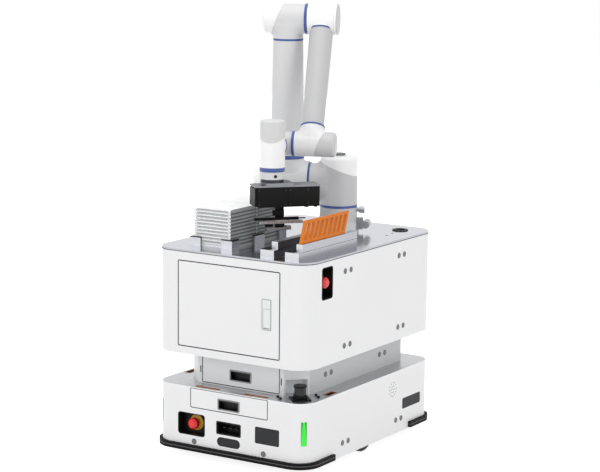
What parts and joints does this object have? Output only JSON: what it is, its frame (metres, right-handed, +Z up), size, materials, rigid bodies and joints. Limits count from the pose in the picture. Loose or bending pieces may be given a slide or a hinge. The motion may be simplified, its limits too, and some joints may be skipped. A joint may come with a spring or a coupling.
{
  "type": "autonomous mobile robot",
  "caption": "Wheeled base with a tool cabinet, deck scanners, slotted cassettes and a jointed arm that carries a two-jaw gripper.",
  "frame": {"origin": "on the floor under the centre of the base", "axes": "+X to the side with the stop button, -Y to the front with the cabinet door, +Z up"},
  "size_m": [0.722, 0.995, 1.7355],
  "materials": {
    "white_paint": "satin",
    "pedestal_paint": "satin",
    "deck_steel": "polished",
    "top_mirror": "mirror polish",
    "frame_steel": "matt black",
    "bumper_rubber": "matt",
    "orange_trim": "satin",
    "lamp_lens": "diffusing",
    "dark_window": "gloss",
    "grille_plastic": "matt",
    "socket_plastic": "matt",
    "cap_plastic": "matt",
    "recess_plastic": "matt",
    "stop_red": "gloss",
    "handle_grey": "matt",
    "scanner_black": "satin",
    "battery_blue": "matt",
    "motor_metal": "machined",
    "tyre_rubber": "matt",
    "caster_steel": "zinc plated",
    "rail_metal": "anodised",
    "locator_metal": "anodised",
    "cassette_plastic": "satin",
    "arm_shell": "satin",
    "arm_cover": "satin",
    "arm_ring": "satin",
    "controller_grey": "satin",
    "gripper_black": "satin",
    "gripper_metal": "machined",
    "jaw_metal": "machined",
    "grommet_rubber": "matt"
  },
  "bodies": {
    "platform": {"chassis_frame": "frame_steel", "chassis_shell": "white_paint", "deck_plate": "deck_steel", "deck_slot_trims": "orange_trim", "bumpers": "bumper_rubber", "light_strips": "lamp_lens", "sensor_windows": "dark_window", "speaker_grilles": "grille_plastic", "charging_port": "socket_plastic", "screw_caps": "cap_plastic", "estop_recess": "recess_plastic", "battery_pack": "battery_blue", "drive_gearmotors": "motor_metal", "pedestal_shell": "pedestal_paint", "lidar_scanners": "scanner_black", "drawer_rails": "caster_steel", "cabinet_shell": "white_paint", "estop_side_panel": "recess_plastic", "arm_controller": "controller_grey", "top_plate": "top_mirror", "cable_grommet": "grommet_rubber", "fixture_rails": "rail_metal", "cassette_locators": "locator_metal", "arm_base": "arm_shell", "base_ring": "arm_ring", "base_connectors": "recess_plastic"},
    "door": {"cabinet_door": "white_paint", "latch_bezel": "socket_plastic"},
    "paddle": {"latch_paddle": "handle_grey"},
    "drawer": {"pedestal_drawer": "pedestal_paint", "drawer_handle": "handle_grey"},
    "flap": {"service_flap": "white_paint", "flap_handle": "handle_grey"},
    "front_stop": {"estop_front_button": "stop_red"},
    "side_stop": {"estop_side_button": "stop_red"},
    "wheel_left": {"drive_wheel_left": "tyre_rubber"},
    "wheel_right": {"drive_wheel_right": "tyre_rubber"},
    "fork_front": {"caster_fork_front": "caster_steel"},
    "fork_rear": {"caster_fork_rear": "caster_steel"},
    "caster_front": {"caster_wheel_front": "tyre_rubber"},
    "caster_rear": {"caster_wheel_rear": "tyre_rubber"},
    "shoulder": {"shoulder_housing": "arm_shell", "shoulder_cover": "arm_cover"},
    "upper_arm": {"upper_arm_casting": "arm_shell", "upper_arm_covers": "arm_cover", "upper_arm_rings": "arm_ring"},
    "forearm": {"forearm_casting": "arm_shell", "forearm_covers": "arm_cover", "forearm_rings": "arm_ring"},
    "wrist_1": {"wrist1_housing": "arm_shell"},
    "wrist_2": {"wrist2_housing": "arm_shell", "wrist2_cover": "arm_cover", "wrist_rings": "arm_ring"},
    "tool": {"tool_flange": "motor_metal", "gripper_frame": "gripper_metal", "gripper_housing": "gripper_black"},
    "jaw_upper": {"upper_jaw": "jaw_metal"},
    "jaw_lower": {"lower_jaw": "jaw_metal"},
    "cassette_front": {"cassette_1": "cassette_plastic"},
    "cassette_rear": {"cassette_2": "cassette_plastic"}
  },
  "joints": [
    {"name": "door_hinge", "type": "hinge", "parent": "platform", "child": "door", "pos_m": [-0.224, -0.485, 0.6145], "axis": [0, 0, -1], "range_deg": [0, 110]},
    {"name": "latch_turn", "type": "hinge", "parent": "door", "child": "paddle", "pos_m": [0.173, -0.486, 0.632], "axis": [-1, 0, 0], "range_deg": [0, 40], "stiffness_Nm_per_rad": 0.2},
    {"name": "drawer_slide", "type": "slide", "parent": "platform", "child": "drawer", "axis": [0, -1, 0], "range_m": [0, 0.26]},
    {"name": "flap_hinge", "type": "hinge", "parent": "platform", "child": "flap", "pos_m": [0, -0.4845, 0.212], "axis": [1, 0, 0], "range_deg": [0, 90]},
    {"name": "front_stop_press", "type": "slide", "parent": "platform", "child": "front_stop", "axis": [0, 1, 0], "range_m": [0, 0.004], "stiffness_N_per_m": 1500},
    {"name": "side_stop_press", "type": "slide", "parent": "platform", "child": "side_stop", "axis": [-1, 0, 0], "range_m": [0, 0.004], "stiffness_N_per_m": 1500},
    {"name": "wheel_left_turn", "type": "hinge", "parent": "platform", "child": "wheel_left", "pos_m": [-0.295, 0, 0.08], "axis": [1, 0, 0], "continuous": true},
    {"name": "wheel_right_turn", "type": "hinge", "parent": "platform", "child": "wheel_right", "pos_m": [0.295, 0, 0.08], "axis": [1, 0, 0], "continuous": true},
    {"name": "swivel_front", "type": "hinge", "parent": "platform", "child": "fork_front", "pos_m": [0, -0.33, 0.11], "axis": [0, 0, 1], "continuous": true},
    {"name": "swivel_rear", "type": "hinge", "parent": "platform", "child": "fork_rear", "pos_m": [0, 0.33, 0.11], "axis": [0, 0, 1], "continuous": true},
    {"name": "caster_front_turn", "type": "hinge", "parent": "fork_front", "child": "caster_front", "pos_m": [0, -0.298, 0.045], "axis": [1, 0, 0], "continuous": true},
    {"name": "caster_rear_turn", "type": "hinge", "parent": "fork_rear", "child": "caster_rear", "pos_m": [0, 0.362, 0.045], "axis": [1, 0, 0], "continuous": true},
    {"name": "arm_1_base", "type": "hinge", "parent": "platform", "child": "shoulder", "pos_m": [0.055, 0.2096, 0.93], "axis": [0, 0, 1], "range_deg": [-3, 8]},
    {"name": "arm_2_shoulder", "type": "hinge", "parent": "shoulder", "child": "upper_arm", "pos_m": [-0.05006, 0.16283, 1.0305], "axis": [0.9135, 0.4067, 0], "range_deg": [-90, 5]},
    {"name": "arm_3_elbow", "type": "hinge", "parent": "upper_arm", "child": "forearm", "pos_m": [-0.07838, 0.15022, 1.6725], "axis": [-0.9135, -0.4067, 0], "range_deg": [-1, 120]},
    {"name": "arm_4_wrist", "type": "hinge", "parent": "forearm", "child": "wrist_1", "pos_m": [0.02968, -0.10724, 1.20792], "axis": [-0.9135, -0.4067, 0], "range_deg": [-3, 90]},
    {"name": "arm_5_wrist", "type": "hinge", "parent": "wrist_1", "child": "wrist_2", "pos_m": [0.00272, -0.17945, 1.20792], "axis": [0.4067, -0.9135, 0], "range_deg": [-5, 30]},
    {"name": "arm_6_flange", "type": "hinge", "parent": "wrist_2", "child": "tool", "pos_m": [0.02957, -0.23974, 1.11], "axis": [0, 0, 1], "range_deg": [-150, 60]},
    {"name": "upper_jaw_slide", "type": "slide", "parent": "tool", "child": "jaw_upper", "axis": [0, 0, 1], "range_m": [0, 0.005]},
    {"name": "lower_jaw_slide", "type": "slide", "parent": "tool", "child": "jaw_lower", "axis": [0, 0, -1], "range_m": [0, 0.005]},
    {"name": "cassette_front_lift", "type": "slide", "parent": "platform", "child": "cassette_front", "axis": [0, 0, 1], "range_m": [0, 0.12]},
    {"name": "cassette_rear_lift", "type": "slide", "parent": "platform", "child": "cassette_rear", "axis": [0, 0, 1], "range_m": [0, 0.12]}
  ],
  "couplings": [
    {"joint": "lower_jaw_slide", "follows": "upper_jaw_slide", "ratio": 1}
  ]
}
